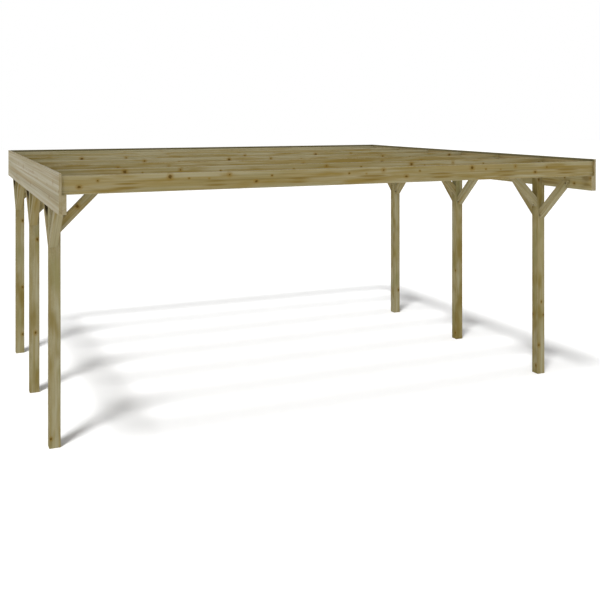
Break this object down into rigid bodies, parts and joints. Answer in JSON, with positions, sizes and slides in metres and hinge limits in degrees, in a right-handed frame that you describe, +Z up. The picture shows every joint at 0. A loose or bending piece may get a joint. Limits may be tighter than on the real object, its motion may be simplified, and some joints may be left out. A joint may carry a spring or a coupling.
{
  "type": "carport",
  "caption": "Free-standing open carport frame in planed timber: square posts with knee braces carry purlins, cross joists and deep fascia boards on the sides and back, with no roof laid.",
  "frame": {"origin": "on the ground, in the middle of the frame's outer box", "axes": "+X across the frame to the right seen from the front, +Y along the fascias to the back, +Z up"},
  "size_m": [5.042, 4.5, 2.27],
  "materials": {
    "post_timber": "planed, greenish brown",
    "brace_timber": "planed, greenish brown",
    "purlin_timber": "planed, greenish brown",
    "joist_timber": "planed, greenish brown",
    "fascia_board": "planed, pale grey brown"
  },
  "bodies": {
    "root": {"left_front_post": "post_timber", "left_front_inward_brace": "brace_timber", "left_front_forward_brace": "brace_timber", "left_front_backward_brace": "brace_timber", "left_middle_post": "post_timber", "left_middle_inward_brace": "brace_timber", "left_middle_forward_brace": "brace_timber", "left_middle_backward_brace": "brace_timber", "left_rear_post": "post_timber", "left_rear_inward_brace": "brace_timber", "left_rear_forward_brace": "brace_timber", "left_rear_backward_brace": "brace_timber", "right_front_post": "post_timber", "right_front_inward_brace": "brace_timber", "right_front_forward_brace": "brace_timber", "right_front_backward_brace": "brace_timber", "right_middle_post": "post_timber", "right_middle_inward_brace": "brace_timber", "right_middle_forward_brace": "brace_timber", "right_middle_backward_brace": "brace_timber", "right_rear_post": "post_timber", "right_rear_inward_brace": "brace_timber", "right_rear_forward_brace": "brace_timber", "right_rear_backward_brace": "brace_timber", "left_purlin": "purlin_timber", "right_purlin": "purlin_timber", "front_joist": "joist_timber", "front_post_joist": "joist_timber", "front_bay_joist": "joist_timber", "middle_post_joist": "joist_timber", "rear_bay_joist": "joist_timber", "rear_post_joist": "joist_timber", "rear_joist": "joist_timber", "left_fascia": "fascia_board", "right_fascia": "fascia_board", "rear_fascia": "fascia_board"}
  },
  "joints": []
}
